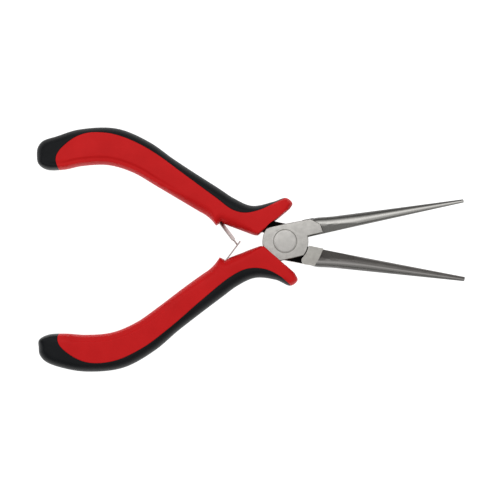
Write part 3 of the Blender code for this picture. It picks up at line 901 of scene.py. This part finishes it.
def leaf_middle(leaf, per_span=8):
    """The leaf's middle line in plan, from the blade's tip to the foot."""
    (x, y), along = leaf["root"], blade_direction(leaf)
    blade = [(x + d * along[0], y + d * along[1]) for d in (leaf["length"], *BLADE_POINTS)]
    return smooth_curve(blade + leaf["foot"], per_span)


def pocket_plan(leaf):
    middle = leaf_middle(leaf)
    half = LEAF_THICKNESS / 2 + LEAF_POCKET_GAP
    return [tuple(p) for p in np.vstack([offset_curve(middle, half), offset_curve(middle, -half)[::-1]])]


def make_grip(prefix, place, grip, leaf, body):
    outer, inner = split_rim(grip)
    inner = inner[::-1]
    first = grip["stations"][0]
    front = np.linspace((*first[:2], FRONT_R), (*first[2:], FRONT_R), FRONT_POINTS)

    def height_at(points):
        return surface_height(points, outer, inner, front)

    hard = strip_body(*hard_rails(grip, outer, inner), height_at, 1)
    hard = make_piece(f"{prefix}_grip_hard_shell", hard, place, [RED, BLACK])
    # The clearance cut leaves its walls in the red shell in the black plastic, a painted shade where the
    # shell meets the plate.
    clearance = clearance_disc(-HALF_GRIP - 2 * CUT_PAST, CAP_UNDERSIDE_Z, 1)
    combine(hard, clearance, place, "DIFFERENCE", [RED, BLACK])
    half_pocket = LEAF_WIDTH / 2 + LEAF_POCKET_GAP
    combine(hard, prism(pocket_plan(leaf), -half_pocket, half_pocket), place, "DIFFERENCE", [RED, BLACK])
    shade(hard, GRIP_SHARP_DEG)
    soft = strip_body(*soft_rails(grip, outer, inner), height_at, 0)
    soft = make_piece(f"{prefix}_grip_soft_inlay", soft, place, [BLACK], GRIP_SHARP_DEG)
    for piece, node, slot in ((hard, "grip", "red_plastic"), (soft, "inlay", "black_soft_plastic")):
        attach(piece, body)
        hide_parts(f"{prefix}_handle_{node}")


# Leaf springs

def leaf_half_width(leaf, distance):
    """Half the leaf's width at a distance along the blade from its root."""
    half = LEAF_WIDTH / 2
    shoulder = leaf.get("tongue_from")
    if shoulder and distance > shoulder:
        fade = min(1.0, (distance - shoulder) / SHOULDER_LENGTH)
        half += (TONGUE_WIDTH / 2 - half) * math.sqrt(1 - (1 - fade) ** 2)
    left = leaf["length"] - distance
    corner = min(TIP_CORNER, half)
    if left < corner:
        half -= corner - math.sqrt(max(corner**2 - (corner - left) ** 2, 0))
    return max(half, LEAST_HALF_WIDTH)


def leaf_body(leaf):
    middle = leaf_middle(leaf, 24)
    along = lengths_along(middle)
    end = np.linspace(0, LEAF_END_LENGTH, LEAF_END_RINGS)
    fine = np.concatenate([end, np.arange(LEAF_END_LENGTH + LEAF_STEP, along[-1], LEAF_STEP), [along[-1]]])
    points = at_lengths(middle, fine)
    tangents = np.gradient(points, axis=0)
    tangents /= np.linalg.norm(tangents, axis=1)[:, None]
    rings = []
    for distance, point, tangent in zip(leaf["length"] - fine, points, tangents):
        twist = np.clip((distance - LEAN_START) / LEAN_LENGTH, 0, 1)
        lean = math.radians(leaf["lean_deg"]) * twist * twist * (3 - 2 * twist)
        normal = np.array([-tangent[1], tangent[0], 0])
        wide = np.array([0, 0, math.cos(lean)]) + normal * math.sin(lean)
        thick = normal * math.cos(lean) - np.array([0, 0, math.sin(lean)])
        half_w, half_t, edge = leaf_half_width(leaf, distance), LEAF_THICKNESS / 2, LEAF_EDGE
        corners = [(half_w, half_t - edge), (half_w - edge, half_t)]
        corners += [(-w, t) for w, t in reversed(corners)]
        corners += [(-w, -t) for w, t in corners]
        rings.append([np.array([*point, 0]) + wide * w + thick * t for w, t in corners])
    return loft(rings)


def make_leaf(prefix, place, leaf):
    spring = make_piece(f"{prefix}_leaf_strip", leaf_body(leaf), place, [SPRING])
    root, along = Vector(leaf["root"]), Vector(blade_direction(leaf))
    if "slot" in leaf:
        near, far = (root + along * d for d in leaf["slot"])
        side = Vector((-along.y, along.x)) * LEAF_THICKNESS * 3
        plan = [near - side, far - side, far + side, near + side]
        combine(spring, prism(plan, -SLOT_WIDTH / 2, SLOT_WIDTH / 2), place, "DIFFERENCE", [SPRING])
        shade(spring)
    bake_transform(spring)
    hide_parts(f"{prefix}_leaf_spring")


# Studio

def make_floor():
    """A large pale sheet that the tool lies on, lit from below like a light table."""
    bm = bmesh.new()
    bmesh.ops.create_grid(bm, x_segments=1, y_segments=1, size=FLOOR_SIZE / 2)
    material, _, shader = node_material("pale_floor")
    shader.inputs["Base Color"].default_value = (FLOOR_GREY, FLOOR_GREY, FLOOR_GREY, 1)
    shader.inputs["Roughness"].default_value = 0.9
    shader.inputs["Specular IOR Level"].default_value = 0.1
    shader.inputs["Emission Color"].default_value = (1, 1, 1, 1)
    shader.inputs["Emission Strength"].default_value = FLOOR_GLOW
    floor = make_piece("floor", bm, Matrix.Translation((0, 0, FLOOR_Z)), [material])


def make_world():
    """A room that is dim near the horizon and bright overhead, with its brightest part leaning towards +Y."""
    world = bpy.data.worlds.new("studio_room")
    bpy.context.scene.world = world
    world.use_nodes = True
    tree = world.node_tree
    place = tree.nodes.new("ShaderNodeTexCoord")
    height = tree.nodes.new("ShaderNodeVectorMath")
    height.operation = "DOT_PRODUCT"
    lean = math.radians(WORLD_LEAN_DEG)
    height.inputs[1].default_value = (0, math.sin(lean), math.cos(lean))
    tree.links.new(place.outputs["Generated"], height.inputs[0])
    shades = ramp(tree, height.outputs["Value"], WORLD_SHADES)
    tree.links.new(shades, tree.nodes["Background"].inputs["Color"])
    tree.nodes["Background"].inputs["Strength"].default_value = 1.0


def area_light(name, azimuth, elevation, distance, width, height, power):
    """A soft light that faces the tool. Azimuth 0 is the -Y side and 90 is the +X side."""
    light = bpy.data.lights.new(name, "AREA")
    light.shape = "RECTANGLE"
    light.size, light.size_y = width, height
    light.energy = power
    lamp = bpy.data.objects.new(name, light)
    around, up = math.radians(azimuth), math.radians(elevation)
    direction = Vector((math.sin(around) * math.cos(up), -math.cos(around) * math.cos(up), math.sin(up)))
    lamp.location = direction * distance
    lamp.rotation_euler = direction.to_track_quat("Z", "Y").to_euler()
    bpy.context.scene.collection.objects.link(lamp)


def make_camera():
    data = bpy.data.cameras.new("camera")
    data.sensor_width = SENSOR_WIDTH
    data.lens = SENSOR_WIDTH * CAMERA_DISTANCE / VIEW_WIDTH
    camera = bpy.data.objects.new("camera", data)
    turn = Matrix.Rotation(math.radians(CAMERA_TURN_DEG), 4, "Z")
    tilt = Matrix.Rotation(math.radians(90 - CAMERA_ELEVATION_DEG), 4, "X")
    rotation = turn @ tilt
    away = Matrix.Translation((0, 0, CAMERA_DISTANCE))
    camera.matrix_world = Matrix.Translation(VIEW_CENTRE) @ rotation @ away
    bpy.context.scene.collection.objects.link(camera)
    bpy.context.scene.camera = camera


def finish_carried_nodes():
    """The two small spring rivets stay as the frame has them, with the spring steel finish."""
    for prefix in ("lower", "upper"):
        node = frame["nodes"][f"{prefix}_spring_rivet"]
        node.data.materials.clear()
        node.data.materials.append(SPRING)


make_camera()
make_world()
make_floor()
for light in LIGHTS:
    area_light(*light)
bpy.context.scene.view_settings.view_transform = "Standard"
make_arm("upper", UPPER_FRAME, UPPER_JAW_EDGES, UPPER_JAW_PAINTED_STEEL, "upper_jaw_side")
make_arm("lower", LOWER_FRAME, LOWER_JAW_EDGES, LOWER_JAW_PAINTED_STEEL, "lower_jaw_side")
make_rivet()
make_grip("lower", UPPER_FRAME, LOWER_GRIP, LOWER_LEAF, "upper_jaw_side")
make_grip("upper", LOWER_FRAME, UPPER_GRIP, UPPER_LEAF, "lower_jaw_side")
make_leaf("lower", UPPER_FRAME, LOWER_LEAF)
make_leaf("upper", LOWER_FRAME, UPPER_LEAF)
finish_carried_nodes()
